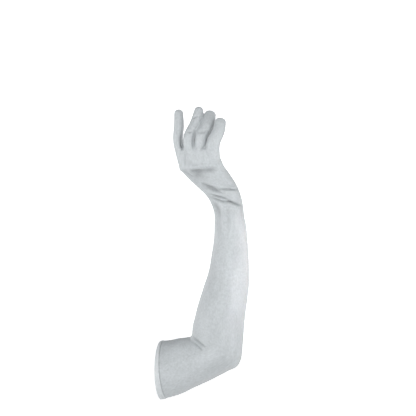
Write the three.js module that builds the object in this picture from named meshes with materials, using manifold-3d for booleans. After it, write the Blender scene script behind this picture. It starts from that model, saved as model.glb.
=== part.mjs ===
// A long satin glove for the right hand, in the form that a bent arm gives it, in millimetres.
// +Z is up, +X is to the right and +Y is away from whoever looks at the back of the hand.
// The origin is the middle of the opening at the upper end of the sleeve.
import * as THREE from "three";
import Module from "manifold-3d";

const wasm = await Module();
wasm.setup();

// Cloth, seams and hem
const clothThickness = 1.3;
const seamGap = 0.3;
const hemLength = 9;
const hemThickness = 2.4;

// Sleeve and hand: lengths between the middle of the opening, the elbow, the wrist and the knuckles
const upperSleeveLength = 100;
const foreSleeveLength = 222;
const handLength = 78.5;
const webLength = 23.7;
const upperSleeveWidth = 84;
const foreSleeveWidth = 76;
const handWidth = 69;

// Fingers and thumb: lengths from the knuckle to the tip
const indexLength = 89;
const middleLength = 94.5;
const ringLength = 88.5;
const littleLength = 70.5;
const fingerThickness = 18;
const thumbLength = 89;
const thumbThickness = 22;
const fourchetteWidth = 10;

// How finely the skins are drawn
const sleeveSides = 26;
const fingerSides = 10;
const ringsPerRow = 1.15;

// Bones of the arm. Each starts where the one before it ends.
// tilt turns a bone from +Z toward +X and recede turns it toward +Y, in degrees.
const upper = makeBone(new THREE.Vector3(0, 0, 0), upperSleeveLength, 70.9, -13.3);
const fore = makeBone(upper.end, foreSleeveLength, 2.9, 0);
const hand = makeBone(fore.end, handLength, -35.6, -18.6);
const web = makeBone(hand.end, webLength, -9.8, -8);

const bones = {
  upper: { bone: upper, size: upperSleeveWidth },
  fore: { bone: fore, size: foreSleeveWidth },
  hand: { bone: hand, size: handWidth },
  web: { bone: web, size: handWidth },
};

// The hand ends thinner than the strips between the fingers, so that each strip closes its own web
const webEndDepth = (0.85 * fourchetteWidth) / handWidth;

// Sections of the sleeve and hand, from the opening to the webs between the fingers.
// along is a share of the bone's length; shift, width and depth are shares of its width above.
// lean tips the section's right end up the bone and roll turns the section round it, in degrees.
// square is 2 for an ellipse and more for a boxier section.
const sectionRows = [
  { on: "upper", along: 0, shift: 0, lean: -18, width: 1.06, depth: 1.0, roll: 0, square: 2 },
  { on: "upper", along: 0.231, shift: 0.03, lean: -9, width: 1.0, depth: 0.97, roll: 0, square: 2 },
  { on: "upper", along: 0.407, shift: 0.022, lean: -2, width: 0.94, depth: 0.95, roll: 0, square: 2 },
  { on: "upper", along: 0.539, shift: 0.023, lean: 3, width: 0.9, depth: 0.93, roll: 0, square: 2 },
  { on: "upper", along: 0.638, shift: 0.021, lean: 9, width: 0.88, depth: 0.92, roll: 0, square: 2 },
  { on: "upper", along: 0.733, shift: 0.008, lean: 19, width: 0.88, depth: 0.92, roll: 0, square: 2 },
  { on: "upper", along: 0.83, shift: -0.008, lean: 30, width: 0.93, depth: 0.92, roll: 0, square: 2 },
  { on: "fore", along: -0.007, shift: -0.131, lean: -32, width: 1.1, depth: 1.0, roll: 0, square: 2 },
  { on: "fore", along: 0.025, shift: -0.092, lean: -24, width: 1.1, depth: 1.0, roll: 0, square: 2 },
  { on: "fore", along: 0.071, shift: -0.084, lean: -14, width: 1.05, depth: 1.0, roll: 0, square: 2 },
  { on: "fore", along: 0.143, shift: -0.075, lean: -6, width: 1.025, depth: 0.99, roll: -3, square: 2 },
  { on: "fore", along: 0.212, shift: -0.057, lean: 1, width: 0.997, depth: 0.99, roll: -6, square: 2 },
  { on: "fore", along: 0.308, shift: -0.021, lean: 3, width: 0.97, depth: 0.97, roll: -9, square: 2 },
  { on: "fore", along: 0.433, shift: 0.039, lean: 3, width: 0.908, depth: 0.88, roll: -14, square: 2 },
  { on: "fore", along: 0.55, shift: 0.079, lean: 3, width: 0.8, depth: 0.78, roll: -19, square: 2 },
  { on: "fore", along: 0.667, shift: 0.086, lean: 3, width: 0.734, depth: 0.7, roll: -25, square: 2 },
  { on: "fore", along: 0.77, shift: 0.08, lean: 3, width: 0.677, depth: 0.64, roll: -30, square: 2 },
  { on: "fore", along: 0.862, shift: 0.059, lean: 1, width: 0.643, depth: 0.58, roll: -34, square: 2.1 },
  { on: "fore", along: 0.926, shift: 0.03, lean: -4, width: 0.62, depth: 0.53, roll: -38, square: 2.2 },
  { on: "hand", along: 0, shift: -0.031, lean: -36, width: 0.717, depth: 0.54, roll: -38, square: 2.3 },
  { on: "hand", along: 0.188, shift: 0.026, lean: -32, width: 0.791, depth: 0.52, roll: -37, square: 2.3 },
  { on: "hand", along: 0.413, shift: 0.037, lean: -25, width: 0.879, depth: 0.47, roll: -36, square: 2.4 },
  { on: "hand", along: 0.666, shift: 0.016, lean: -21, width: 0.955, depth: 0.43, roll: -35, square: 2.5 },
  { on: "hand", along: 0.879, shift: -0.002, lean: -19, width: 1.0, depth: 0.39, roll: -35, square: 2.5 },
  { on: "hand", along: 1.009, shift: 0.01, lean: -14, width: 1.03, depth: 0.37, roll: -35, square: 2.4 },
  { on: "web", along: 0.35, shift: 0.01, lean: -12, width: 0.97, depth: 0.32, roll: -32, square: 2.4 },
  { on: "web", along: 0.75, shift: 0.01, lean: -10, width: 0.86, depth: 0.25, roll: -31, square: 2.4 },
  { on: "web", along: 0.97, shift: 0.01, lean: -10, width: 0.8, depth: webEndDepth, roll: -31, square: 2.4 },
];
const firstForearmRow = 10;
const firstHandRow = 19;
const knuckleRow = 24;
const firstWebRow = 25;

// Fingers, from the index to the little finger. place is a share of the row of knuckles, from its
// middle, and arch a share of the hand's width toward the back of the hand.
// The girths at the knuckle, the two joints and the pad are shares of the finger thickness.
const knuckleSpan = 0.79;
const fingerRows = [
  { name: "index", length: indexLength, place: -0.5, arch: 0, knuckle: 0.84, joint: 0.75, last: 0.83, pad: 0.69 },
  { name: "middle", length: middleLength, place: -0.13, arch: 0.06, knuckle: 0.94, joint: 0.91, last: 0.92, pad: 0.77 },
  { name: "ring", length: ringLength, place: 0.2, arch: 0.035, knuckle: 1.03, joint: 1.07, last: 1.06, pad: 0.82 },
  { name: "little", length: littleLength, place: 0.5, arch: 0, knuckle: 1.0, joint: 1.0, last: 0.92, pad: 0.78 },
];
// The three bones of each finger: share of its length, tilt and recede.
const fingerBends = {
  index: [
    { share: 0.435, tilt: -14.9, recede: -3 },
    { share: 0.29, tilt: 2.4, recede: 5 },
    { share: 0.275, tilt: -1.4, recede: 14 },
  ],
  middle: [
    { share: 0.456, tilt: -15.5, recede: -8 },
    { share: 0.295, tilt: 18, recede: 12.5 },
    { share: 0.249, tilt: 25.8, recede: 14.8 },
  ],
  ring: [
    { share: 0.448, tilt: -13.5, recede: -10 },
    { share: 0.294, tilt: 19, recede: 8.8 },
    { share: 0.258, tilt: 27.7, recede: 37.7 },
  ],
  little: [
    { share: 0.4, tilt: -6.3, recede: -12.3 },
    { share: 0.315, tilt: 20.3, recede: 10.4 },
    { share: 0.285, tilt: 19.2, recede: 23.3 },
  ],
  thumb: [
    { share: 0.42, tilt: -39.5, recede: 28 },
    { share: 0.315, tilt: -25.3, recede: -4 },
    { share: 0.265, tilt: -19.6, recede: -19.5 },
  ],
};
const fourchetteNames = ["index_middle", "middle_ring", "ring_little"].map((pair) => `fourchette_${pair}`);

// The thumb starts inside the palm, at shares of the hand's length and width.
const thumbRow = { along: 0.25, across: -0.04, away: 0.13, knuckle: 1.15, joint: 1.0, last: 0.95, pad: 0.8 };

function radians(degrees) {
  return THREE.MathUtils.degToRad(degrees);
}

function makeBone(start, length, tilt, recede) {
  const t = radians(tilt);
  const r = radians(recede);
  const along = new THREE.Vector3(
    Math.sin(t) * Math.cos(r),
    Math.sin(r),
    Math.cos(t) * Math.cos(r),
  );
  const across = new THREE.Vector3(Math.cos(t), 0, -Math.sin(t));
  const away = new THREE.Vector3().crossVectors(along, across);
  const end = start.clone().addScaledVector(along, length);
  return { start, length, along, across, away, end };
}

// A section of the sleeve or hand, as its middle, its two directions and its half sizes
function placeSection(row) {
  const { bone, size } = bones[row.on];
  const lean = radians(row.lean);
  const roll = radians(row.roll);
  const middle = bone.start
    .clone()
    .addScaledVector(bone.along, row.along * bone.length)
    .addScaledVector(bone.across, row.shift * size);
  const leaned = bone.across
    .clone()
    .multiplyScalar(Math.cos(lean))
    .addScaledVector(bone.along, Math.sin(lean));
  const across = leaned
    .clone()
    .multiplyScalar(Math.cos(roll))
    .addScaledVector(bone.away, Math.sin(roll));
  const away = bone.away
    .clone()
    .multiplyScalar(Math.cos(roll))
    .addScaledVector(leaned, -Math.sin(roll));
  const sizes = new THREE.Vector3((row.width * size) / 2, (row.depth * size) / 2, row.square);
  return { middle, across, away, sizes };
}

const sections = sectionRows.map(placeSection);
const lastSection = sections.length - 1;
const sectionCurves = {
  middle: new THREE.CatmullRomCurve3(sections.map((s) => s.middle)),
  across: new THREE.CatmullRomCurve3(sections.map((s) => s.across)),
  away: new THREE.CatmullRomCurve3(sections.map((s) => s.away)),
  sizes: new THREE.CatmullRomCurve3(sections.map((s) => s.sizes)),
};

// The section at a place counted in rows of the table, such as 2.5 for halfway between two rows
function sectionAt(place) {
  const share = place / lastSection;
  return {
    middle: sectionCurves.middle.getPoint(share),
    across: sectionCurves.across.getPoint(share).normalize(),
    away: sectionCurves.away.getPoint(share).normalize(),
    sizes: sectionCurves.sizes.getPoint(share),
  };
}

// One ring of points round a section, grown outward by a distance
function ringOf({ middle, across, away, sizes }, sides, grow) {
  const ring = [];
  for (let k = 0; k < sides; k += 1) {
    const angle = (2 * Math.PI * (k + 0.5)) / sides;
    const side = Math.sign(Math.cos(angle)) * Math.abs(Math.cos(angle)) ** (2 / sizes.z);
    const front = Math.sign(Math.sin(angle)) * Math.abs(Math.sin(angle)) ** (2 / sizes.z);
    ring.push(
      middle
        .clone()
        .addScaledVector(across, side * (sizes.x + grow))
        .addScaledVector(away, front * (sizes.y + grow)),
    );
  }
  return ring;
}

function middleOf(ring) {
  const sum = ring.reduce((total, point) => total.add(point), new THREE.Vector3());
  return sum.divideScalar(ring.length);
}

// Soft creases and ridges in the back of the glove, each along a line in the front view.
// The ends are measured from the elbow or the wrist, across and up, as shares of the width there.
const folds = [
  { near: "elbow", from: [-0.58, 0.26], to: [-0.3, 0.03], lift: -0.03, breadth: 0.05 },
  { near: "elbow", from: [-0.5, 0.27], to: [-0.24, 0.1], lift: 0.02, breadth: 0.05 },
  { near: "wrist", from: [-0.6, 0.42], to: [-0.24, 0.26], lift: -0.03, breadth: 0.05 },
  { near: "wrist", from: [-0.2, 0.33], to: [0.18, 0.33], lift: 0.024, breadth: 0.05 },
  { near: "wrist", from: [-0.38, 0.14], to: [0.24, -0.04], lift: -0.03, breadth: 0.05 },
];
const foldPlaces = {
  elbow: { at: upper.end, size: foreSleeveWidth },
  wrist: { at: fore.end, size: handWidth },
};
const foldLines = folds.map(({ near, from, to, lift, breadth }) => {
  const { at, size } = foldPlaces[near];
  const place = ([across, up]) => new THREE.Vector3(at.x + across * size, 0, at.z + up * size);
  return { line: new THREE.Line3(place(from), place(to)), at, lift: lift * size, breadth: breadth * size };
});

// How far the folds move a point toward or away from the viewer
function foldAt(point) {
  const flat = new THREE.Vector3(point.x, 0, point.z);
  const nearest = new THREE.Vector3();
  let forward = 0;
  for (const { line, at, lift, breadth } of foldLines) {
    if (point.y > at.y) continue;
    line.closestPointToPoint(flat, true, nearest);
    forward += lift * Math.exp(-((flat.distanceTo(nearest) / breadth) ** 2));
  }
  return new THREE.Vector3(0, -forward, 0);
}

function solidFrom(points, faces) {
  const vertProperties = new Float32Array(points.flatMap((p) => [p.x, p.y, p.z]));
  const triVerts = new Uint32Array(faces.flat());
  return new wasm.Manifold(new wasm.Mesh({ numProp: 3, vertProperties, triVerts }));
}

// A closed skin through rings of points, each end closed by a fan from its own middle point
function skin(rings, startPoint, endPoint) {
  const sides = rings[0].length;
  const points = [...rings.flat(), startPoint, endPoint];
  const start = rings.length * sides;
  const last = start - sides;
  const faces = [];
  for (let k = 0; k < sides; k += 1) {
    const next = (k + 1) % sides;
    faces.push([start, next, k], [start + 1, last + k, last + next]);
    for (let low = 0; low < last; low += sides) {
      const high = low + sides;
      faces.push([low + k, low + next, high + next], [low + k, high + next, high + k]);
    }
  }
  return solidFrom(points, faces);
}

// The sleeve and hand between two places in the table of sections, grown outward by a distance.
// A run takes the skin straight out past its first section.
function sleeveSkin(from, to, grow, run = 0) {
  const places = [from];
  for (let k = 1; k / ringsPerRow < to; k += 1) {
    if (k / ringsPerRow > from) places.push(k / ringsPerRow);
  }
  const rings = [...places, to].map((place) => {
    const section = sectionAt(place);
    if (place === lastSection) section.middle.addScaledVector(web.along, grow);
    return ringOf(section, sleeveSides, grow).map((point) => point.add(foldAt(point)));
  });
  if (run > 0) {
    rings.unshift(rings[0].map((point) => point.clone().addScaledVector(upper.along, -run)));
  }
  return skin(rings, middleOf(rings[0]), middleOf(rings.at(-1)));
}

// A finger or thumb: its joints, its middle line and its girth
function makeFinger(start, row, bends, length, thickness) {
  const joints = [start];
  for (const { share, tilt, recede } of bends) {
    joints.push(makeBone(joints.at(-1), share * length, tilt, recede).end);
  }
  const line = new THREE.CatmullRomCurve3(joints);
  const radii = [row.knuckle, row.joint, row.last, row.pad].map((girth) => (girth * thickness) / 2);
  const stations = [0, bends[0].share, bends[0].share + bends[1].share, 1];
  return { line, radii, stations, length: line.getLength() };
}

function radiusAt({ stations, radii }, share) {
  const k = Math.max(stations.findIndex((station) => share <= station), 1);
  const within = (share - stations[k - 1]) / (stations[k] - stations[k - 1]);
  return THREE.MathUtils.lerp(radii[k - 1], radii[k], within);
}

const fingerStarts = fingerRows.map((row) =>
  hand.end
    .clone()
    .addScaledVector(sections[knuckleRow].across, row.place * knuckleSpan * handWidth)
    .addScaledVector(sections[knuckleRow].away, -row.arch * handWidth),
);
const fingers = fingerRows.map((row, i) =>
  makeFinger(fingerStarts[i], row, fingerBends[row.name], row.length, fingerThickness),
);
const thumbStart = hand.start
  .clone()
  .addScaledVector(hand.along, thumbRow.along * handLength)
  .addScaledVector(hand.across, thumbRow.across * handWidth)
  .addScaledVector(hand.away, thumbRow.away * handWidth);
const thumb = makeFinger(thumbStart, thumbRow, fingerBends.thumb, thumbLength, thumbThickness);

// The rounded but rather square end of a fingertip: its radius against how far along the tip it is
const tipSquareness = 2.6;
const tipSteps = [0.45, 0.78, 0.95];
const straightRings = 6;

function fingerSkin(finger, grow) {
  const tipShare = (finger.radii.at(-1) + grow) / finger.length;
  const endShare = 1 + grow / finger.length;
  const straightShare = endShare - tipShare;
  const stations = [];
  for (let i = 0; i <= straightRings; i += 1) {
    stations.push({ share: (straightShare * i) / straightRings, dome: 1 });
  }
  for (const step of tipSteps) {
    const dome = (1 - step ** tipSquareness) ** (1 / tipSquareness);
    stations.push({ share: straightShare + step * tipShare, dome });
  }
  const rings = stations.map(({ share, dome }) => {
    const inside = Math.min(share, 1);
    const along = finger.line.getTangentAt(inside);
    const middle = pointAlong(finger, share);
    const across = sections[knuckleRow].across.clone().projectOnPlane(along).normalize();
    const away = new THREE.Vector3().crossVectors(along, across);
    const radius = (radiusAt(finger, inside) + grow) * dome;
    return ringOf({ middle, across, away, sizes: new THREE.Vector3(radius, radius, 2) }, fingerSides, 0);
  });
  return skin(rings, pointAlong(finger, 0), pointAlong(finger, endShare));
}

// A sheet of points through the middle of the glove, in rows that go up the arm.
// Its columns are shares of the half width, and over the hand they run into the fingers' middle lines.
const sheetColumns = [-1, -0.6, -0.2, 0.25, 0.65, 1];
const sheetMargin = 12;

function sheetRow({ middle, across, sizes }) {
  return sheetColumns.map((column) =>
    middle.clone().addScaledVector(across, column * (sizes.x + sheetMargin)),
  );
}

// The upper sleeve's sheet is level at the elbow, so that it meets the forearm's there
const upperSheetStations = [-0.2, 0, 0.8, 1.4];
const upperSheetHalfWidth = 0.62;
const levelFrom = 0.8;

function upperSheet() {
  return upperSheetStations.map((station) => {
    const middle = upper.start.clone().addScaledVector(upper.along, station * upper.length);
    middle.y = upper.end.y * Math.min(station / levelFrom, 1);
    const half = upperSheetHalfWidth * upperSleeveWidth;
    return sheetColumns.map((column) => middle.clone().addScaledVector(upper.across, column * half));
  });
}

// The sheet from under the elbow up the forearm and hand, and then along and past the fingers
const elbowSheetDrop = 0.4;
const fingerSheetStations = [0.3, 0.45, 0.6, 0.75, 0.9, 1, 1.12];

function foreSheet() {
  const lowest = placeSection({ ...sectionRows[firstForearmRow], along: -elbowSheetDrop, lean: 0, roll: 0 });
  const arm = [lowest, ...sections.slice(firstForearmRow, firstWebRow)].map(sheetRow);
  return [...arm, ...fingerSheetStations.map(fingerSheetRow)];
}

function fingerSheetRow(station) {
  const points = fingers.map((finger) => pointAlong(finger, station));
  const outward = (from, to) =>
    to.clone().addScaledVector(to.clone().sub(from).normalize(), fingerThickness / 2 + sheetMargin);
  return [outward(points[1], points[0]), ...points, outward(points[2], points[3])];
}

function pointAlong(finger, station) {
  const inside = Math.min(station, 1);
  const past = (station - inside) * finger.length;
  return finger.line.getPointAt(inside).addScaledVector(finger.line.getTangentAt(inside), past);
}

// A block in front of a sheet, down to a thickness or else out past the whole glove
function blockInFront(sheet, shift, thickness) {
  const rows = sheet.length;
  const columns = sheet[0].length;
  const count = rows * columns;
  const far = sheet.flat().map((p) => new THREE.Vector3(p.x, p.y + shift, p.z));
  const near = far.map((p) => new THREE.Vector3(p.x, thickness ? p.y - thickness : -foreSleeveLength, p.z));
  const faces = [];
  const quad = (a, b, c, d) => faces.push([a, b, c], [a, c, d]);
  for (let i = 0; i + 1 < rows; i += 1) {
    for (let j = 0; j + 1 < columns; j += 1) {
      const a = i * columns + j;
      quad(a, a + columns, a + columns + 1, a + 1);
      quad(count + a, count + a + 1, count + a + columns + 1, count + a + columns);
    }
    const left = i * columns;
    const right = left + columns - 1;
    quad(left, count + left, count + left + columns, left + columns);
    quad(right + columns, count + right + columns, count + right, right);
  }
  for (let j = 0; j + 1 < columns; j += 1) {
    const top = (rows - 1) * columns + j;
    quad(j + 1, count + j + 1, count + j, j);
    quad(top, count + top, count + top + 1, top + 1);
  }
  return solidFrom([...far, ...near], faces);
}

const union = (solids) => solids.reduce((all, solid) => all.add(solid));

// Each panel ends short of the sheet by half a seam's gap, measured along Y where the sheet slopes
const seamShift = 0.75 * seamGap;

function frontBlock(shift) {
  return union([upperSheet(), foreSheet()].map((sheet) => blockInFront(sheet, shift)));
}

// The space between two neighbouring fingers' middle lines, where their fourchette lies
const fourchetteStations = [0.17, 0.3, 0.45, 0.6, 0.75, 0.9];

function fourchetteBlock(i, gap) {
  const stations = [...fourchetteStations];
  stations[stations.length - 1] += gap / fingers[i].length;
  const sheet = stations.map((station) => [pointAlong(fingers[i], station), pointAlong(fingers[i + 1], station)]);
  const thickness = fourchetteWidth + 2 * gap;
  return blockInFront(sheet, thickness / 2, thickness);
}

// The hollow goes right through the opening, and the hem is a thicker band round its first stretch
const firstRowLength = sections[0].middle.distanceTo(sections[1].middle);
const hemPlace = hemLength / firstRowLength;
const panelPlace = (hemLength + seamGap) / firstRowLength;
const hollow = union([
  sleeveSkin(0, lastSection, -clothThickness, hemLength),
  ...fingers.map((finger) => fingerSkin(finger, -clothThickness)),
]);
const shell = union([
  sleeveSkin(panelPlace, lastSection, 0),
  ...fingers.map((finger) => fingerSkin(finger, 0)),
]).subtract(hollow);
const hem = sleeveSkin(0, hemPlace, hemThickness - clothThickness).subtract(hollow);

// The thumb stands on the palm, round a hole as wide as its own hollow
const thumbHollow = fingerSkin(thumb, -clothThickness);
const besideThumb = union([
  sleeveSkin(firstHandRow - 3, lastSection, seamGap),
  ...fingers.map((finger) => fingerSkin(finger, seamGap)),
]);
const thumbStall = fingerSkin(thumb, 0).subtract(thumbHollow).subtract(besideThumb);

const gaps = fourchetteNames.map((_, i) => fourchetteBlock(i, seamGap));
const panels = shell.subtract(union(gaps));
const backPanel = panels.intersect(frontBlock(-seamShift));
const palmPanel = panels.subtract(frontBlock(seamShift)).subtract(thumbHollow);

const satin = { color: 0xb4b8ba, roughness: 0.42, metalness: 0 };

function meshOf(name, solid) {
  const { vertProperties, triVerts } = solid.getMesh();
  const geometry = new THREE.BufferGeometry();
  geometry.setAttribute("position", new THREE.BufferAttribute(vertProperties, 3));
  geometry.setIndex(new THREE.BufferAttribute(triVerts, 1));
  geometry.computeVertexNormals();
  const mesh = new THREE.Mesh(geometry, new THREE.MeshStandardMaterial(satin));
  mesh.name = name;
  return mesh;
}

const glove = new THREE.Group();
glove.add(meshOf("back_panel", backPanel));
glove.add(meshOf("palm_panel", palmPanel));
glove.add(meshOf("thumb", thumbStall));
glove.add(meshOf("cuff_hem", hem));
fourchetteNames.forEach((name, i) => {
  glove.add(meshOf(name, shell.intersect(fourchetteBlock(i, 0))));
});
export default glove;
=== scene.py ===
"""A long satin glove for the right hand, as it sits on a bent arm: the finished cloth over the fixed frame.

The glove is drawn in millimetres, with +X right, +Y away from the viewer and +Z up, and its origin is
the middle of the sleeve's opening. make_piece turns millimetres into metres.
"""

import math

import bpy
import numpy as np
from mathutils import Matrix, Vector, noise
from mathutils.bvhtree import BVHTree
from mathutils.kdtree import KDTree


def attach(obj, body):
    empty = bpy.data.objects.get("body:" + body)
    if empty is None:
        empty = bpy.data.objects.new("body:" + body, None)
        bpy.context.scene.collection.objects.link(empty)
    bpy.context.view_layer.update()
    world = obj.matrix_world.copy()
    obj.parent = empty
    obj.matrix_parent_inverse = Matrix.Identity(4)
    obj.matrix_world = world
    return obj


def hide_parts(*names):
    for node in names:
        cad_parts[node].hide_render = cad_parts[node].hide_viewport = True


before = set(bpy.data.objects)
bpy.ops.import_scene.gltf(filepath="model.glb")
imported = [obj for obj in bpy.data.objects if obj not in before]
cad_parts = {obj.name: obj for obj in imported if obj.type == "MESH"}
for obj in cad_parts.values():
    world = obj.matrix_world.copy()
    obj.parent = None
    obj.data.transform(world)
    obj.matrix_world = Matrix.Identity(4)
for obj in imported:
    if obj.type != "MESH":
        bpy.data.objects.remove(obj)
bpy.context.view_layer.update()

MM = 0.001

# Cloth, seams and hem
CLOTH_THICKNESS = 1.0
HEM_LENGTH = 9.0
HEM_THICKNESS = 2.2
FOURCHETTE_WIDTH = 9.0
FOURCHETTE_SET_BACK = 2.2
VOXEL = 1.36

# Sleeve and hand
UPPER_SLEEVE_LENGTH = 100.0
FORE_SLEEVE_LENGTH = 222.0
HAND_LENGTH = 78.5
WEB_LENGTH = 23.7
UPPER_SLEEVE_WIDTH = 84.0
FORE_SLEEVE_WIDTH = 76.0
HAND_WIDTH = 69.0

# Fingers and thumb
FINGER_LENGTHS = {"index": 89.0, "middle": 95.5, "ring": 85.5, "little": 70.0, "thumb": 89.0}
FINGER_THICKNESS = 18.0
THUMB_THICKNESS = 22.0


def bone(start, length, tilt, recede):
    """A straight stretch: tilt turns it from +Z toward +X and recede toward +Y, in degrees."""
    t, r = math.radians(tilt), math.radians(recede)
    along = np.array([math.sin(t) * math.cos(r), math.sin(r), math.cos(t) * math.cos(r)])
    across = np.array([math.cos(t), 0.0, -math.sin(t)])
    return {
        "start": start,
        "end": start + along * length,
        "length": length,
        "along": along,
        "across": across,
        "away": np.cross(along, across),
    }


upper = bone(np.zeros(3), UPPER_SLEEVE_LENGTH, 70.9, -13.3)
fore = bone(upper["end"], FORE_SLEEVE_LENGTH, 2.9, 0.0)
hand = bone(fore["end"], HAND_LENGTH, -35.6, -18.6)
web = bone(hand["end"], WEB_LENGTH, -9.8, -8.0)
BONES = {
    "upper": (upper, UPPER_SLEEVE_WIDTH),
    "fore": (fore, FORE_SLEEVE_WIDTH),
    "hand": (hand, HAND_WIDTH),
    "web": (web, HAND_WIDTH),
}

# Sections from the opening to the webs between the fingers. along is a share of the bone's length;
# shift, width and depth are shares of its width. lean and roll are in degrees. square is 2 for an
# ellipse and more for a boxier section.
SECTION_COLUMNS = ("on", "along", "shift", "lean", "width", "depth", "roll", "square")
SECTIONS = [
    ("upper", 0.0, 0.0, -18, 1.06, 1.0, 0, 2.0),
    ("upper", 0.231, 0.03, -9, 1.0, 0.97, 0, 2.0),
    ("upper", 0.407, 0.022, -2, 0.94, 0.95, 0, 2.0),
    ("upper", 0.539, 0.023, 3, 0.9, 0.93, 0, 2.0),
    ("upper", 0.638, 0.021, 9, 0.88, 0.92, 0, 2.0),
    ("upper", 0.733, 0.008, 19, 0.88, 0.92, 0, 2.0),
    ("upper", 0.83, -0.008, 30, 0.93, 0.92, 0, 2.0),
    ("fore", -0.007, -0.131, -32, 1.1, 1.0, 0, 2.0),
    ("fore", 0.025, -0.092, -24, 1.1, 1.0, 0, 2.0),
    ("fore", 0.071, -0.084, -14, 1.05, 1.0, 0, 2.0),
    ("fore", 0.143, -0.075, -6, 1.025, 0.99, -3, 2.0),
    ("fore", 0.212, -0.057, 1, 0.997, 0.99, -6, 2.0),
    ("fore", 0.308, -0.021, 3, 0.97, 0.97, -9, 2.0),
    ("fore", 0.433, 0.039, 3, 0.908, 0.88, -14, 2.0),
    ("fore", 0.55, 0.079, 3, 0.8, 0.78, -19, 2.0),
    ("fore", 0.667, 0.086, 3, 0.734, 0.7, -25, 2.0),
    ("fore", 0.77, 0.08, 3, 0.677, 0.64, -30, 2.0),
    ("fore", 0.862, 0.059, 1, 0.643, 0.58, -34, 2.1),
    ("fore", 0.926, 0.03, -4, 0.62, 0.53, -38, 2.2),
    ("hand", 0.0, -0.031, -36, 0.717, 0.54, -38, 2.3),
    ("hand", 0.188, 0.026, -32, 0.791, 0.52, -37, 2.3),
    ("hand", 0.413, 0.037, -25, 0.879, 0.47, -36, 2.4),
    ("hand", 0.666, 0.016, -21, 0.955, 0.43, -35, 2.5),
    ("hand", 0.879, -0.002, -19, 1.0, 0.39, -35, 2.5),
    ("hand", 1.009, 0.01, -14, 1.03, 0.42, -35, 2.4),
    ("web", 0.35, 0.01, -12, 0.98, 0.43, -32, 2.4),
    ("web", 0.75, 0.01, -10, 0.89, 0.38, -31, 2.4),
    ("web", 1.07, 0.01, -10, 0.8, 0.28, -31, 2.4),
]
KNUCKLE_ROW = 24
FIRST_HAND_ROW = 19

# Fingers: place along the row of knuckles, arch toward the back of the hand, and girths as shares of
# the finger's thickness at the knuckle, the two joints and the pad. tip is 2 for a round end and more
# for a squarer one.
KNUCKLE_SPAN = 0.79
FINGER_COLUMNS = ("name", "place", "arch", "knuckle", "joint", "last", "pad", "tip")
FINGERS = [
    ("index", -0.5, 0.0, 0.84, 0.84, 0.86, 0.72, 2.8),
    ("middle", -0.13, 0.06, 0.94, 1.0, 0.95, 0.72, 2.0),
    ("ring", 0.2, 0.03, 1.03, 1.17, 1.08, 0.94, 5.0),
    ("little", 0.485, 0.02, 1.0, 1.18, 1.04, 0.91, 3.2),
]
# The three bones of each finger: share of its length, tilt and recede
FINGER_BENDS = {
    "index": [(0.435, -13.8, -3.0), (0.29, 2.2, 5.0), (0.275, -1.0, 14.0)],
    "middle": [(0.42, -13.0, -8.0), (0.308, 21.5, 12.5), (0.272, 14.0, 14.8)],
    "ring": [(0.426, -11.0, -6.0), (0.29, 24.6, 11.0), (0.284, 13.7, 35.0)],
    "little": [(0.39, -5.0, -19.0), (0.323, 22.5, 7.0), (0.287, 10.0, 23.3)],
    "thumb": [(0.42, -39.5, 28.0), (0.315, -25.3, -4.0), (0.265, -19.6, -19.5)],
}
THUMB = dict(along=0.25, across=-0.04, away=0.13, knuckle=1.15, joint=1.0, last=0.95, pad=0.8, tip=2.5)


def place_section(row):
    """The middle, the two directions and the half sizes of one row of SECTIONS."""
    row = dict(zip(SECTION_COLUMNS, row))
    base, size = BONES[row["on"]]
    lean, roll = math.radians(row["lean"]), math.radians(row["roll"])
    middle = base["start"] + base["along"] * row["along"] * base["length"] + base["across"] * row["shift"] * size
    leaned = base["across"] * math.cos(lean) + base["along"] * math.sin(lean)
    across = leaned * math.cos(roll) + base["away"] * math.sin(roll)
    away = base["away"] * math.cos(roll) - leaned * math.sin(roll)
    return np.concatenate([middle, across, away, [row["width"] * size / 2, row["depth"] * size / 2, row["square"]]])


SECTION_VALUES = np.array([place_section(row) for row in SECTIONS])
LAST_ROW = len(SECTIONS) - 1


def spline(values, places):
    """The rows of a table at fractional places, on a smooth curve through every row."""
    count = len(values)
    k = np.clip(np.floor(places).astype(int), 0, count - 2)
    t = (places - k)[:, None]
    p0, p1 = values[np.maximum(k - 1, 0)], values[k]
    p2, p3 = values[k + 1], values[np.minimum(k + 2, count - 1)]
    return 0.5 * (
        2 * p1
        + (p2 - p0) * t
        + (2 * p0 - 5 * p1 + 4 * p2 - p3) * t**2
        + (3 * p1 - p0 - 3 * p2 + p3) * t**3
    )


def unit(vectors):
    return vectors / np.maximum(np.linalg.norm(vectors, axis=-1, keepdims=True), 1e-9)


def sections_at(places):
    """Middles, directions and half sizes at fractional places in SECTIONS."""
    values = spline(SECTION_VALUES, np.asarray(places, float))
    return {
        "middle": values[:, 0:3],
        "across": unit(values[:, 3:6]),
        "away": unit(values[:, 6:9]),
        "width": values[:, 9],
        "depth": values[:, 10],
        "square": values[:, 11],
    }


def rings_of(sections, sides):
    """Rings of points round sections, an array of rings by sides by 3."""
    angle = 2 * np.pi * (np.arange(sides) + 0.5) / sides
    power = 2 / sections["square"][:, None]
    side = np.sign(np.cos(angle)) * np.abs(np.cos(angle)) ** power
    front = np.sign(np.sin(angle)) * np.abs(np.sin(angle)) ** power
    return (
        sections["middle"][:, None]
        + sections["across"][:, None] * (side * sections["width"][:, None])[..., None]
        + sections["away"][:, None] * (front * sections["depth"][:, None])[..., None]
    )


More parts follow.
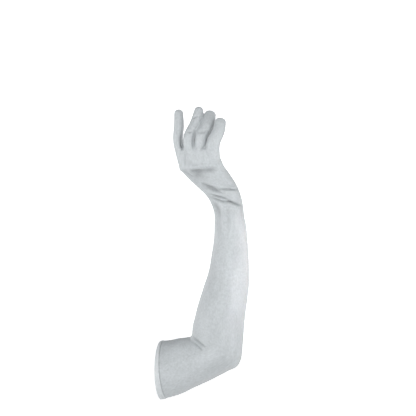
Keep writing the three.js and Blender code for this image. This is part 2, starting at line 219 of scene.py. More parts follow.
def finger_frame(start, name, row, thickness):
    """A finger's middle line as a fine polyline, with its radius and how far along it each point is."""
    joints = [start]
    for share, tilt, recede in FINGER_BENDS[name]:
        joints.append(bone(joints[-1], share * FINGER_LENGTHS[name], tilt, recede)["end"])
    joints = np.array(joints)
    fine = spline(joints, np.linspace(0, 3, 241))
    steps = np.linalg.norm(np.diff(fine, axis=0), axis=1)
    run = np.concatenate([[0], np.cumsum(steps)])
    share = np.linspace(0, 1, 121)
    line = np.stack([np.interp(share * run[-1], run, fine[:, k]) for k in range(3)], 1)
    first, second = FINGER_BENDS[name][0][0], FINGER_BENDS[name][1][0]
    girths = [row["knuckle"], row["joint"], row["last"], row["pad"]]
    radius = np.interp(share, [0, first, first + second, 1], girths) * thickness / 2
    kernel = np.ones(15) / 15
    radius = np.convolve(np.pad(radius, 7, mode="edge"), kernel, mode="valid")
    return {"name": name, "line": line, "radius": radius, "share": share, "length": run[-1], "pad": radius[-1], "tip": row["tip"]}


knuckles = sections_at([KNUCKLE_ROW])
KNUCKLE_ACROSS = knuckles["across"][0]
KNUCKLE_AWAY = knuckles["away"][0]
fingers = []
for row in FINGERS:
    row = dict(zip(FINGER_COLUMNS, row))
    start = hand["end"] + KNUCKLE_ACROSS * row["place"] * KNUCKLE_SPAN * HAND_WIDTH
    start = start - KNUCKLE_AWAY * row["arch"] * HAND_WIDTH
    fingers.append(finger_frame(start, row["name"], row, FINGER_THICKNESS))
thumb_start = (
    hand["start"]
    + hand["along"] * THUMB["along"] * HAND_LENGTH
    + hand["across"] * THUMB["across"] * HAND_WIDTH
    + hand["away"] * THUMB["away"] * HAND_WIDTH
)
thumb = finger_frame(thumb_start, "thumb", THUMB, THUMB_THICKNESS)


def closed_loft(rings):
    """The points and quads of a closed skin through rings, with a fan at each end."""
    count, sides = rings.shape[:2]
    points = np.concatenate([rings.reshape(-1, 3), rings[0].mean(0)[None], rings[-1].mean(0)[None]])
    k = np.arange(sides)
    following = (k + 1) % sides
    faces = []
    for low in range(0, (count - 1) * sides, sides):
        faces += np.stack([low + k, low + following, low + sides + following, low + sides + k], 1).tolist()
    start, last = count * sides, (count - 1) * sides
    faces += np.stack([np.full(sides, start), following, k], 1).tolist()
    faces += np.stack([np.full(sides, start + 1), last + k, last + following], 1).tolist()
    return points, faces


def finger_loft(finger):
    """A finger's closed skin, rounded off at the tip."""
    end = 1 - finger["pad"] / finger["length"]
    steps = np.concatenate([np.linspace(0, end, 60), end + (1 - end) * np.sin(np.linspace(0.1, 1.5, 14))])
    line = np.stack([np.interp(steps, finger["share"], finger["line"][:, k]) for k in range(3)], 1)
    dome = np.clip((steps - end) / (1 - end), 0, 1)
    radius = np.interp(steps, finger["share"], finger["radius"])
    radius = radius * np.maximum(1 - dome ** finger["tip"], 0.0) ** (1 / finger["tip"])
    along = unit(np.gradient(line, axis=0))
    across = unit(KNUCKLE_ACROSS - along * (along @ KNUCKLE_ACROSS)[:, None])
    sections = {
        "middle": line,
        "across": across,
        "away": np.cross(along, across),
        "width": radius,
        "depth": radius,
        "square": np.full(len(steps), 2.0),
    }
    return closed_loft(rings_of(sections, 36))


def ball(centre, radii, direction=None):
    """A round lump as a closed loft, stretched along a direction."""
    along = unit(np.array(direction if direction is not None else (0.0, 0.0, 1.0)))
    helper = KNUCKLE_ACROSS - along * (along @ KNUCKLE_ACROSS)
    across = unit(helper)
    away = np.cross(along, across)
    turn = np.linspace(0.15, math.pi - 0.15, 14)
    sections = {
        "middle": centre - along * (np.cos(turn) * radii[2])[:, None],
        "across": np.tile(across, (14, 1)),
        "away": np.tile(away, (14, 1)),
        "width": np.sin(turn) * radii[0],
        "depth": np.sin(turn) * radii[1],
        "square": np.full(14, 2.0),
    }
    return closed_loft(rings_of(sections, 24))


def arm_loft():
    """The sleeve and hand, run straight out past the opening so that it can be cut open there."""
    sections = sections_at(np.arange(0, LAST_ROW + 0.001, 0.1))
    rings = rings_of(sections, 80)
    run = np.arange(9, 0, -1.5)
    outside = np.stack([rings[0] - upper["along"] * step for step in run])
    return closed_loft(np.concatenate([outside, rings]))


# Round lumps under the cloth: the knuckles, the ball of the thumb and the heel of the hand
KNUCKLE_RADIUS = 10.5
KNUCKLE_SINK = 3.5
KNUCKLE_INSET = 4.0


def lumps():
    pieces = []
    for finger in fingers:
        side = {"index": 1, "little": -1}.get(finger["name"], 0)
        centre = finger["line"][0] - KNUCKLE_AWAY * KNUCKLE_SINK + KNUCKLE_ACROSS * side * KNUCKLE_INSET
        along = finger["line"][8] - finger["line"][0]
        radius = KNUCKLE_RADIUS * (0.75 if side else 1.0)
        pieces.append(ball(centre, (radius, radius, radius * 1.25), along))
    palm_ball = thumb["line"][18] + KNUCKLE_AWAY * -2.0
    pieces.append(ball(palm_ball, (14.5, 13.0, 24.0), thumb["line"][50] - thumb["line"][0]))
    heel = sections_at([FIRST_HAND_ROW + 2.2])
    heel_middle = heel["middle"][0] + heel["across"][0] * 12.0 + heel["away"][0] * 8.0
    pieces.append(ball(heel_middle, (13.0, 10.0, 26.0), hand["along"]))
    return pieces


def skin_surface():
    """One even quad skin round the arm, the hand, the fingers and the thumb."""
    pieces = [arm_loft()] + [finger_loft(finger) for finger in fingers + [thumb]] + lumps()
    points, faces, offset = [], [], 0
    for part_points, part_faces in pieces:
        points.append(part_points)
        faces += [[index + offset for index in face] for face in part_faces]
        offset += len(part_points)
    mesh = bpy.data.meshes.new("skin")
    mesh.from_pydata((np.concatenate(points) * MM).tolist(), [], faces)
    skin = bpy.data.objects.new("skin", mesh)
    bpy.context.scene.collection.objects.link(skin)
    remesh = skin.modifiers.new("remesh", "REMESH")
    remesh.mode = "VOXEL"
    remesh.voxel_size = VOXEL * MM
    even = skin.evaluated_get(bpy.context.evaluated_depsgraph_get()).to_mesh()
    even.calc_loop_triangles()
    verts = np.empty(len(even.vertices) * 3)
    even.vertices.foreach_get("co", verts)
    tris = np.empty(len(even.loop_triangles) * 3, int)
    even.loop_triangles.foreach_get("vertices", tris)
    skin.evaluated_get(bpy.context.evaluated_depsgraph_get()).to_mesh_clear()
    bpy.data.objects.remove(skin)
    bpy.data.meshes.remove(mesh)
    return verts.reshape(-1, 3) / MM, tris.reshape(-1, 3)


def pairs_of(tris):
    """Each edge of a mesh once, as a pair of point numbers."""
    pairs = np.concatenate([tris[:, [0, 1]], tris[:, [1, 2]], tris[:, [2, 0]]])
    return np.unique(np.sort(pairs, axis=1), axis=0)


def relaxed(values, pairs, steps, share=None):
    """Values at the points of a mesh, drawn toward their neighbours' mean by each of the steps in turn."""
    a, b = pairs.T
    count = len(values)
    flat = values.reshape(count, -1).copy()
    degree = np.maximum(np.bincount(pairs.ravel(), minlength=count), 1)
    share = np.ones(count) if share is None else share
    for step in steps:
        for k in range(flat.shape[1]):
            column = flat[:, k]
            total = np.bincount(a, column[b], count) + np.bincount(b, column[a], count)
            flat[:, k] = column + step * share * (total / degree - column)
    return flat.reshape(values.shape)


def corner_sums(tris, values, count):
    """The sum at each point of a value that each triangle round it carries."""
    return sum(np.bincount(tris[:, k], values, count) for k in range(3))


def normals_of(verts, tris):
    a, b, c = (verts[tris[:, k]] for k in range(3))
    faces = np.cross(b - a, c - a)
    return unit(np.stack([corner_sums(tris, faces[:, k], len(verts)) for k in range(3)], 1))


FLATTEST_SLOPE = 0.25


def surface_distance(verts, tris, values):
    """A field at the points of a mesh, rescaled to a distance along the surface near its zero line."""
    a, b, c = (verts[tris[:, k]] for k in range(3))
    normal = np.cross(b - a, c - a)
    area = np.maximum(np.linalg.norm(normal, axis=1, keepdims=True), 1e-9)
    normal = normal / area
    u, v, w = (values[tris[:, k]][:, None] for k in range(3))
    slope = np.cross(normal, c - b) * u + np.cross(normal, a - c) * v + np.cross(normal, b - a) * w
    steepness = np.linalg.norm(slope, axis=1)
    total = corner_sums(tris, steepness, len(verts))
    weight = corner_sums(tris, area[:, 0], len(verts))
    return values / np.maximum(total / np.maximum(weight, 1e-9), FLATTEST_SLOPE)


# Limbs, for directions in the cloth
ARM, THUMB_LIMB = 0, 5


def limb_points():
    """Sample points over every limb's skin, each with its limb and its place in the cloth there."""
    points, cloth, limbs = [], [], []
    places = np.arange(0, LAST_ROW + 0.001, 0.1)
    sections = sections_at(places)
    run = np.concatenate([[0], np.cumsum(np.linalg.norm(np.diff(sections["middle"], axis=0), axis=1))])
    rings = rings_of(sections, 80)
    out = rings - sections["middle"][:, None]
    girth = np.linalg.norm(out, axis=2, keepdims=True)
    across = (out @ sections["across"][..., None])[..., 0]
    away = (out @ sections["away"][..., None])[..., 0]
    straight = np.stack([across, away, np.broadcast_to(run[:, None], across.shape)], 2)
    points.append(rings.reshape(-1, 3))
    cloth.append(straight.reshape(-1, 3))
    limbs.append(np.full(across.size, ARM))
    for number, finger in enumerate(fingers + [thumb], 1):
        along = unit(np.gradient(finger["line"], axis=0))
        side = unit(KNUCKLE_ACROSS - along * (along @ KNUCKLE_ACROSS)[:, None])
        back = np.cross(along, side)
        angle = 2 * np.pi * np.arange(28) / 28
        round_ = np.cos(angle)[None, :, None] * side[:, None] + np.sin(angle)[None, :, None] * back[:, None]
        ring = finger["line"][:, None] + round_ * finger["radius"][:, None, None]
        turn = np.stack(
            [
                np.cos(angle) * finger["radius"][:, None],
                np.sin(angle) * finger["radius"][:, None],
                np.broadcast_to((run[-1] + finger["share"] * finger["length"])[:, None], (len(along), 28)),
            ],
            2,
        )
        points.append(ring.reshape(-1, 3))
        cloth.append(turn.reshape(-1, 3))
        limbs.append(np.full(ring.shape[0] * 28, number))
    return np.concatenate(points), np.concatenate(cloth), np.concatenate(limbs)


def nearest_cloth(verts):
    """For each point its limb, and its place in the cloth as if that limb were straight."""
    points, cloth, limbs = limb_points()
    tree = KDTree(len(points))
    for index, point in enumerate(points):
        tree.insert(point, index)
    tree.balance()
    places = np.empty((len(verts), 3))
    limb = np.empty(len(verts), int)
    for index, vert in enumerate(verts):
        found = tree.find_n(vert, 3)
        near = np.array([entry[1] for entry in found])
        weight = 1 / (np.array([entry[2] for entry in found]) ** 2 + 0.05)
        limb[index] = limbs[near[0]]
        weight = weight * (limbs[near] == limbs[near[0]])
        places[index] = (cloth[near] * weight[:, None]).sum(0) / weight.sum()
    return places, limb


def sheet_tree(rows):
    """A surface through rows of points, smooth both ways, for finding its depth under a point."""
    rows = np.array(rows)
    fine_rows = np.linspace(0, len(rows) - 1, 6 * len(rows))
    flat = spline(rows.reshape(len(rows), -1), fine_rows).reshape(len(fine_rows), -1, 3)
    columns = flat.transpose(1, 0, 2)
    fine_columns = np.linspace(0, len(columns) - 1, 4 * len(columns))
    grid = spline(columns.reshape(len(columns), -1), fine_columns).reshape(len(fine_columns), -1, 3)
    height, width = grid.shape[:2]
    faces = []
    for i in range(height - 1):
        for j in range(width - 1):
            a = i * width + j
            faces.append((a, a + 1, a + width + 1, a + width))
    return BVHTree.FromPolygons([Vector(point) for point in grid.reshape(-1, 3)], faces)


FAR = 1000.0
SHEET_MARGIN = 12.0
SHEET_COLUMNS = np.array([-1, -0.6, -0.2, 0.25, 0.65, 1])


def depth_on(tree, verts):
    """The Y of a sheet straight behind or before each point, or -FAR where it doesn't reach."""
    depth = np.full(len(verts), -FAR)
    ahead = Vector((0, 1, 0))
    for index, (x, _, z) in enumerate(verts):
        hit = tree.ray_cast(Vector((x, -FAR, z)), ahead)[0]
        if hit is not None:
            depth[index] = hit[1]
    return depth


def point_along(finger, share):
    """A point on a finger's middle line, or straight on past its tip."""
    line = finger["line"]
    inside = min(share, 1.0)
    point = np.array([np.interp(inside, finger["share"], line[:, k]) for k in range(3)])
    return point + unit(line[-1] - line[-4]) * (share - inside) * finger["length"]


def middle_sheets():
    """The two surfaces through the glove's middle that part the back panel from the palm panel."""
    upper_rows = []
    for station in (-0.2, 0.0, 0.4, 0.8, 1.1, 1.4):
        middle = upper["start"] + upper["along"] * station * UPPER_SLEEVE_LENGTH
        middle[1] = upper["end"][1] * min(station / 0.8, 1.0)
        half = 0.62 * UPPER_SLEEVE_WIDTH
        upper_rows.append([middle + upper["across"] * column * half for column in SHEET_COLUMNS])
    below = dict(zip(SECTION_COLUMNS, SECTIONS[10]))
    below.update(along=-0.4, lean=0, roll=0)
    first = place_section(tuple(below[column] for column in SECTION_COLUMNS))
    rows = [first, *SECTION_VALUES[10 : KNUCKLE_ROW + 1]]
    fore_rows = [[row[0:3] + row[3:6] * column * (row[9] + SHEET_MARGIN) for column in SHEET_COLUMNS] for row in rows]
    for station in (0.3, 0.45, 0.6, 0.75, 0.9, 1.0, 1.12):
        points = [point_along(finger, station) for finger in fingers]
        reach = FINGER_THICKNESS / 2 + SHEET_MARGIN
        left = points[0] + unit(points[0] - points[1]) * reach
        right = points[3] + unit(points[3] - points[2]) * reach
        fore_rows.append([left, *points, right])
    return sheet_tree(upper_rows), sheet_tree(fore_rows)


def outline_distance(outline, x, z):
    """How far inside a closed outline in the XZ plane each point is, negative outside."""
    best = np.full(len(x), FAR)
    inside = np.zeros(len(x), bool)
    for (x0, z0), (x1, z1) in zip(outline, np.roll(outline, -1, axis=0)):
        length = max((x1 - x0) ** 2 + (z1 - z0) ** 2, 1e-9)
        t = np.clip(((x - x0) * (x1 - x0) + (z - z0) * (z1 - z0)) / length, 0, 1)
        best = np.minimum(best, np.hypot(x - x0 - t * (x1 - x0), z - z0 - t * (z1 - z0)))
        crosses = (z0 > z) != (z1 > z)
        at = x0 + (z - z0) * (x1 - x0) / (z1 - z0 if z1 != z0 else 1e-9)
        inside ^= crosses & (x < at)
    return np.where(inside, best, -best)


FOURCHETTE_STATIONS = (0.14, 0.3, 0.45, 0.6, 0.75, 0.9)
FOURCHETTE_PAIRS = ("index_middle", "middle_ring", "ring_little")


def fourchette_field(verts, first, second):
    """Positive on the strip between two neighbouring fingers."""
    left = np.array([point_along(first, station) for station in FOURCHETTE_STATIONS])
    right = np.array([point_along(second, station) for station in FOURCHETTE_STATIONS])
    outline = np.concatenate([left[:, [0, 2]], right[::-1][:, [0, 2]]])
    inside = outline_distance(outline, verts[:, 0], verts[:, 2])
    stations = (0.0, 0.15, 0.3, 0.45, 0.6, 0.75, 0.9, 1.0)
    rows = []
    for station in stations:
        a, b = point_along(first, station), point_along(second, station)
        rows.append([a + (b - a) * share for share in (-0.5, 0.0, 0.5, 1.0, 1.5)])
    near = inside > -3.0
    field = np.minimum(inside, -1.0)
    depth = depth_on(sheet_tree(rows), verts[near])
    field[near] = np.minimum(inside[near], FOURCHETTE_WIDTH / 2 - np.abs(verts[near, 1] - depth - FOURCHETTE_SET_BACK))
    return np.maximum(field, -20.0)


def skin_tree(lofts):
    points, faces, offset = [], [], 0
    for loft_points, loft_faces in lofts:
        points += [Vector(point) for point in loft_points]
        faces += [[index + offset for index in face] for face in loft_faces]
        offset += len(loft_points)
    return BVHTree.FromPolygons(points, faces)


def thumb_field(verts, limb):
    """Positive on the thumb's own stall and negative on the hand that it stands on."""
    near = np.linalg.norm(verts - thumb["line"][40], axis=1) < 75
    hand_skin = skin_tree([arm_loft(), *(finger_loft(finger) for finger in fingers), *lumps()])
    thumb_skin = skin_tree([finger_loft(thumb)])
    field = np.full(len(verts), -20.0)
    for index in np.flatnonzero(near):
        point = Vector(verts[index])
        field[index] = hand_skin.find_nearest(point)[3] - thumb_skin.find_nearest(point)[3]
    return field


def cut(data, tris, values):
    """Splits the triangles of a mesh along a field's zero line. Each point's row of data is carried over."""
    values = np.where(np.abs(values) < 1e-4, 1e-4, values)
    over = values > 0
    corner = over[tris]
    count = corner.sum(1)
    mixed = (count == 1) | (count == 2)
    if not mixed.any():
        return data, tris
    chosen = tris[mixed]
    alone = np.where(count[mixed] == 1, corner[mixed].argmax(1), (~corner[mixed]).argmax(1))
    turned = np.stack([chosen[np.arange(len(chosen)), (alone + k) % 3] for k in range(3)], 1)
    crossing = np.concatenate([turned[:, [0, 1]], turned[:, [0, 2]]])
    pairs, back = np.unique(np.sort(crossing, axis=1), axis=0, return_inverse=True)
    back = back.reshape(-1)
    a, b = pairs.T
    share = (values[a] / (values[a] - values[b]))[:, None]
    made = data[a] * (1 - share) + data[b] * share
    first = len(data) + back[: len(chosen)]
    second = len(data) + back[len(chosen) :]
    apex, left, right = turned.T
    new = [
        np.stack([apex, first, second], 1),
        np.stack([first, left, right], 1),
        np.stack([first, right, second], 1),
    ]
    return np.concatenate([data, made]), np.concatenate([tris[~mixed], *new])


# Creases and ridges in the cloth, each along a line in the front view. The ends are measured from the
# elbow, the wrist or the knuckles, across and up, as shares of the width there. lift and breadth are
# in millimetres, and a lift below 0 is a crease.
ANCHORS = {
    "elbow": (upper["end"], FORE_SLEEVE_WIDTH),
    "wrist": (fore["end"], HAND_WIDTH),
    "knuckles": (hand["end"], HAND_WIDTH),
}
FOLD_COLUMNS = ("near", "side", "from", "to", "lift", "breadth")
FOLDS = [
    # The wrist, on the back of the hand
    ("wrist", "front", (-0.58, 0.44), (-0.16, 0.24), -3.2, 2.8),
    ("wrist", "front", (-0.54, 0.37), (-0.25, 0.26), -2.6, 3.4),
    ("wrist", "front", (-0.19, 0.365), (0.2, 0.37), 2.0, 1.9),
    ("wrist", "front", (-0.2, 0.315), (0.21, 0.32), -2.7, 1.6),
    ("wrist", "front", (-0.34, 0.25), (-0.12, 0.19), 1.6, 1.7),
    ("wrist", "front", (-0.42, 0.215), (-0.02, 0.1), -3.4, 1.8),
    ("wrist", "front", (-0.32, 0.15), (-0.02, 0.075), 1.6, 1.5),
    ("wrist", "front", (-0.43, 0.155), (-0.13, 0.05), -3.4, 1.9),
    ("wrist", "front", (-0.15, 0.05), (0.07, 0.04), -2.6, 1.9),
    ("wrist", "front", (-0.03, 0.065), (0.29, -0.045), -3.4, 1.7),
    ("wrist", "front", (0.02, 0.11), (0.28, 0.0), 1.3, 2.0),
    ("wrist", "front", (-0.34, 0.02), (-0.2, -0.24), -3.2, 4.6),
    ("wrist", "front", (-0.24, -0.2), (-0.2, -0.75), -1.0, 5.0),
    ("wrist", "front", (-0.12, -0.06), (-0.1, -0.6), 1.0, 3.2),
    ("wrist", "front", (-0.02, -0.06), (0.0, -0.6), -1.0, 3.0),
    ("wrist", "front", (0.12, -0.1), (0.14, -0.6), 0.9, 3.2),
    # The elbow, from the crook
    ("elbow", "front", (-0.63, 0.33), (-0.31, 0.07), -2.5, 1.6),
    ("elbow", "front", (-0.61, 0.27), (-0.34, 0.04), 0.9, 1.4),
    ("elbow", "front", (-0.61, 0.215), (-0.38, 0.015), -2.4, 1.5),
    # The knuckles and the backs of the fingers
    ("knuckles", "front", (-0.24, -0.06), (0.0, -0.06), 1.8, 3.2),
    ("knuckles", "front", (0.02, -0.03), (0.3, -0.03), 2.0, 3.2),
    ("knuckles", "front", (-0.2, -0.18), (0.08, -0.17), -3.2, 3.6),
    ("knuckles", "front", (0.05, -0.16), (0.36, -0.15), -2.7, 3.8),
    ("knuckles", "front", (-0.38, -0.16), (-0.2, -0.25), -2.2, 5.5),
    ("knuckles", "front", (-0.3, -0.24), (0.1, -0.28), -2.3, 8.0),
    ("knuckles", "front", (-0.36, 0.24), (-0.33, -0.06), -2.0, 2.6),
    ("knuckles", "front", (-0.41, 0.63), (-0.4, 0.32), -3.5, 1.5),
    ("knuckles", "front", (0.18, 0.56), (0.1, 0.385), -3.2, 1.4),
    ("knuckles", "front", (-0.11, 0.73), (-0.15, 0.36), -2.6, 1.9),
    ("knuckles", "front", (-0.04, 0.69), (0.18, 0.71), -1.8, 1.8),
    ("knuckles", "front", (-0.2, 0.99), (-0.05, 1.06), -1.9, 1.7),
    ("knuckles", "front", (-0.27, 0.71), (-0.17, 0.7), -1.8, 1.7),
    ("knuckles", "front", (0.13, 0.38), (0.02, 0.31), -2.0, 1.8),
    # The palm side and the back of the arm, finished plainly
    ("wrist", "behind", (-0.3, 0.12), (0.28, 0.02), -1.8, 2.4),
    ("wrist", "behind", (-0.32, 0.26), (0.24, 0.17), -1.4, 2.2),
    ("wrist", "behind", (-0.3, 0.19), (0.26, 0.09), 0.9, 2.4),
    ("knuckles", "behind", (-0.3, -0.1), (0.42, -0.14), -1.2, 2.6),
    ("knuckles", "behind", (-0.3, 0.3), (0.4, 0.34), -1.0, 2.2),
    ("elbow", "behind", (-0.58, 0.24), (-0.2, 0.0), -2.0, 2.6),
    ("elbow", "behind", (-0.52, 0.1), (-0.24, -0.1), -1.4, 2.4),
    ("elbow", "behind", (-0.6, 0.36), (-0.1, 0.2), 1.2, 3.2),
]


def folded(verts, normals, sides):
    """How far each point moves out along its normal for the folds. sides is +1 in front and -1 behind."""
    lift = np.zeros(len(verts))
    for row in FOLDS:
        row = dict(zip(FOLD_COLUMNS, row))
        at, size = ANCHORS[row["near"]]
        start = at[[0, 2]] + np.array(row["from"]) * size
        end = at[[0, 2]] + np.array(row["to"]) * size
        along = end - start
        flat = verts[:, [0, 2]] - start
        t = np.clip(flat @ along / (along @ along), 0, 1)
        away = np.linalg.norm(flat - t[:, None] * along, axis=1)
        taper = np.sqrt(np.clip(np.sin(np.pi * (0.06 + 0.88 * t)), 0, 1))
        facing = np.clip(sides * (1 if row["side"] == "front" else -1), 0, 1)
        lift += row["lift"] * facing * taper * np.exp(-((away / (row["breadth"] * (0.55 + 0.45 * taper))) ** 2))
    return lift


# Painted shade: a crease this deep, in millimetres, darkens the satin's colour the most
FULL_SHADE_CREASE_DEPTH = 3.5


def rippled(cloth):
    """Slight unevenness of worn cloth: long soft ripples and short fine ones."""
    lift = np.empty(len(cloth))
    for index, (across, away, along) in enumerate(cloth):
        soft = noise.noise(Vector((across / 26, away / 26, along / 60)))
        fine = noise.noise(Vector((across / 9 + 7, away / 9, along / 17)))
        lift[index] = 0.45 * soft + 0.13 * fine
    return lift


SEAM_GAP = 0.03
SEAM_LEVELS = (-1.3, -0.5, -SEAM_GAP, SEAM_GAP, 0.5, 1.3)
SEAM_DEPTH = 0.45
HEM_PROUD = 0.7
POSITION, CLOTH, OPENING, FIELDS, CREASE_SHADE_COLUMN = slice(0, 3), slice(3, 6), 6, slice(7, 13), 13
HEM_FIELD, THUMB_FIELD, FIRST_FOURCHETTE, FRONT_FIELD = 0, 1, 2, 5


def past_ring(verts, millimetres):
    """How far past a ring of the sleeve each point is, the ring that far in from the opening."""
    step = np.linalg.norm(SECTION_VALUES[1, :3] - SECTION_VALUES[0, :3])
    ring = sections_at([millimetres / step])
    normal = np.cross(ring["across"][0], ring["away"][0])
    near = np.linalg.norm(verts, axis=1) < 75
    return np.where(near, (verts - ring["middle"][0]) @ normal, FAR)


def spanned(verts, tris, pairs, rounds, share):
    """Cloth pulled across hollows: points in them move out little by little, where share is above 0."""
    for _ in range(rounds):
        normals = normals_of(verts, tris)
        inward = ((relaxed(verts, pairs, [1.0]) - verts) * normals).sum(1)
        verts = relaxed(verts, pairs, [0.6], share * np.clip(inward / 0.03, 0, 1))
    return verts


def stretched_over_knuckles(verts):
    """1 on the back of the hand from below the knuckles up to where the fingers part, and 0 elsewhere."""
    up = (verts - hand["end"]) @ web["along"]
    behind = (verts - hand["end"]) @ web["away"]
    over = np.clip((up + 22) / 8, 0, 1) * np.clip((WEB_LENGTH + 1 - up) / 3, 0, 1)
    return over * np.clip((2 - behind) / 4, 0, 1) * (np.abs(up) < 60)


THUMB_ROOT_REACH = 30.0
THUMB_ROOT_FADE = 8.0


def near_thumb_root(verts):
    """1 on the palm side round the thumb's root, falling to 0 away from it."""
    away = np.min([np.linalg.norm(verts - point, axis=1) for point in thumb["line"][0:31:5]], axis=0)
    behind = np.clip(((verts - thumb["line"][0]) @ KNUCKLE_AWAY + 8) / 8, 0, 1)
    return np.clip((THUMB_ROOT_REACH - away) / THUMB_ROOT_FADE, 0, 1) * behind


CROOK = (-0.6, 0.27)
CROOK_REACH = 7.0


def near_crook(verts):
    """1 in the crook of the elbow, falling to 0 round it."""
    at, size = ANCHORS["elbow"]
    away = np.linalg.norm(verts[:, [0, 2]] - at[[0, 2]] - np.array(CROOK) * size, axis=1)
    return np.clip(2 - 2 * away / CROOK_REACH, 0, 1)


def whole_glove():
    """The glove's outer skin with its seams cut in: points, normals, seam distances and pieces."""
    verts, tris = skin_surface()
    pairs = pairs_of(tris)
    verts = relaxed(verts, pairs, [0.5, -0.53] * 4)
    verts = spanned(verts, tris, pairs, 7, np.ones(len(verts)))
    verts = spanned(verts, tris, pairs, 54, stretched_over_knuckles(verts))
    verts = spanned(verts, tris, pairs, 45, near_thumb_root(verts))
    cloth, limb = nearest_cloth(verts)
    upper_sheet, fore_sheet = middle_sheets()
    front = np.maximum(depth_on(upper_sheet, verts), depth_on(fore_sheet, verts)) - verts[:, 1]
    fields = [past_ring(verts, HEM_LENGTH), thumb_field(verts, limb)]
    fields += [fourchette_field(verts, fingers[k], fingers[k + 1]) for k in range(3)]
    fields.append(front)
    fields = np.stack([np.clip(field, -20, 20) for field in fields], 1)
    fields = relaxed(fields, pairs, [0.5] * 8)
    for k in range(fields.shape[1]):
        fields[:, k] = surface_distance(verts, tris, fields[:, k])

    normals = normals_of(verts, tris)
    facing = -np.sign(normals[:, 1]) * np.clip((np.abs(normals[:, 1]) - 0.15) * 1.7, 0, 1)
    fold = folded(verts, normals, facing)
    verts = verts + normals * (fold + rippled(cloth))[:, None]
    verts = relaxed(verts, pairs, [0.3, -0.31])
    verts = relaxed(verts, pairs, [0.5] * 8, near_crook(verts))

    # Painted shade: how far the satin's colour is darkened at each point, from how deep the fold sinks there
    painted_crease_shade = np.clip(-fold / FULL_SHADE_CREASE_DEPTH, 0, 1)
    data = np.concatenate([verts, cloth, past_ring(verts, 0.0)[:, None], fields, painted_crease_shade[:, None]], 1)
    data, tris = cut(data, tris, data[:, OPENING])
    tris = tris[data[:, OPENING][tris].mean(1) > 0]
    for level in (0.5, 1.2):
        data, tris = cut(data, tris, data[:, OPENING] - level)
    for field in range(6):
        for level in SEAM_LEVELS:
            data, tris = cut(data, tris, data[:, FIELDS][:, field] - level)
    used, tris = np.unique(tris, return_inverse=True)
    data, tris = data[used], tris.reshape(-1, 3)

    fields = data[:, FIELDS]
    fourchette = fields[:, FIRST_FOURCHETTE:FRONT_FIELD].max(1)
    seam = np.minimum(np.abs(fields[:, HEM_FIELD]), np.abs(fields[:, THUMB_FIELD]))
    seam = np.minimum(seam, np.where(fields[:, THUMB_FIELD] < 0, np.abs(fourchette), FAR))
    on_panel = (fields[:, THUMB_FIELD] < 0) & (fourchette < 0) & (fields[:, HEM_FIELD] > 0)
    seam = np.minimum(seam, np.where(on_panel, np.abs(fields[:, FRONT_FIELD]), FAR))
    verts = data[:, POSITION]
    normals = normals_of(verts, tris)
    pucker = 1 + 0.3 * np.sin(data[:, 5] * 2 * np.pi / 4.2)
    lift = -SEAM_DEPTH * np.exp(-((seam / 0.7) ** 2)) + 0.14 * pucker * np.exp(-(((seam - 2.0) / 1.0) ** 2))
    in_hem = fields[:, HEM_FIELD] < 0
    middle = np.clip(np.abs(data[:, OPENING] / HEM_LENGTH * 2 - 1), 0, 1)
    lift = lift + np.where(in_hem, HEM_PROUD * (1 - middle**8) - 0.35 * middle**24, 0)
    surface = {
        "verts": verts + normals * lift[:, None],
        "normals": normals,
        "seam": seam,
        "cloth": data[:, CLOTH],
        "painted_crease_shade": data[:, CREASE_SHADE_COLUMN],
    }
    return surface, tris, fields


def label_pieces(tris, fields):
    """The piece that each triangle belongs to, or nothing in the gap along a seam."""
    middle = fields[tris].mean(1)
    names = np.where(middle[:, FRONT_FIELD] > 0, "back_panel", "palm_panel").astype("U32")
    names[np.abs(middle[:, FRONT_FIELD]) < SEAM_GAP] = ""
    for k, pair in enumerate(FOURCHETTE_PAIRS):
        strip = middle[:, FIRST_FOURCHETTE + k]
        names[strip > 0] = f"fourchette_{pair}"
        names[np.abs(strip) < SEAM_GAP] = ""
    names[middle[:, THUMB_FIELD] > 0] = "thumb"
    names[np.abs(middle[:, THUMB_FIELD]) < SEAM_GAP] = ""
    names[middle[:, HEM_FIELD] < 0] = "cuff_hem"
    names[np.abs(middle[:, HEM_FIELD]) < SEAM_GAP] = ""
    return names


def thickened(surface, tris, thickness):
    """A piece of cloth with an inner face and a rim: its points, triangles and per-point values."""
    used, local = np.unique(tris, return_inverse=True)
    local = local.reshape(-1, 3)
    count = len(used)
    outer = surface["verts"][used]
    inner = outer - surface["normals"][used] * thickness
    directed = np.concatenate([local[:, [0, 1]], local[:, [1, 2]], local[:, [2, 0]]])
    codes = directed[:, 0] * count + directed[:, 1]
    reverse = directed[:, 1] * count + directed[:, 0]
    rim = directed[~np.isin(codes, reverse)]
    a, b = rim.T
    sides = [np.stack([b, a, a + count], 1), np.stack([b, a + count, b + count], 1)]
    faces = np.concatenate([local, local[:, ::-1] + count, *sides])
    values = {
        "seam": np.tile(surface["seam"][used], 2),
        "painted_crease_shade": np.tile(surface["painted_crease_shade"][used], 2),
        "cloth": np.tile(surface["cloth"][used], (2, 1)),
    }
    return np.concatenate([outer, inner]), faces, values


def make_piece(name, verts, faces, values, material):
    mesh = bpy.data.meshes.new(f"{name}_cloth")
    mesh.from_pydata((verts * MM).tolist(), [], faces.tolist())
    for key in ("seam", "painted_crease_shade"):
        mesh.attributes.new(key, "FLOAT", "POINT").data.foreach_set("value", values[key].astype(np.float32))
    cloth = mesh.attributes.new("cloth", "FLOAT_VECTOR", "POINT")
    cloth.data.foreach_set("vector", values["cloth"].astype(np.float32).ravel())
    mesh.materials.append(material)
    mesh.shade_smooth()
    mesh.set_sharp_from_angle(angle=math.radians(48))
    piece = bpy.data.objects.new(f"{name}_cloth", mesh)
    bpy.context.scene.collection.objects.link(piece)
    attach(piece, "root")
    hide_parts(name)
    return piece


STITCH_PITCH = 3.2
STITCH_LENGTH = 2.1
STITCH_THICKNESS = 0.55
STITCH_ROW = 6.6


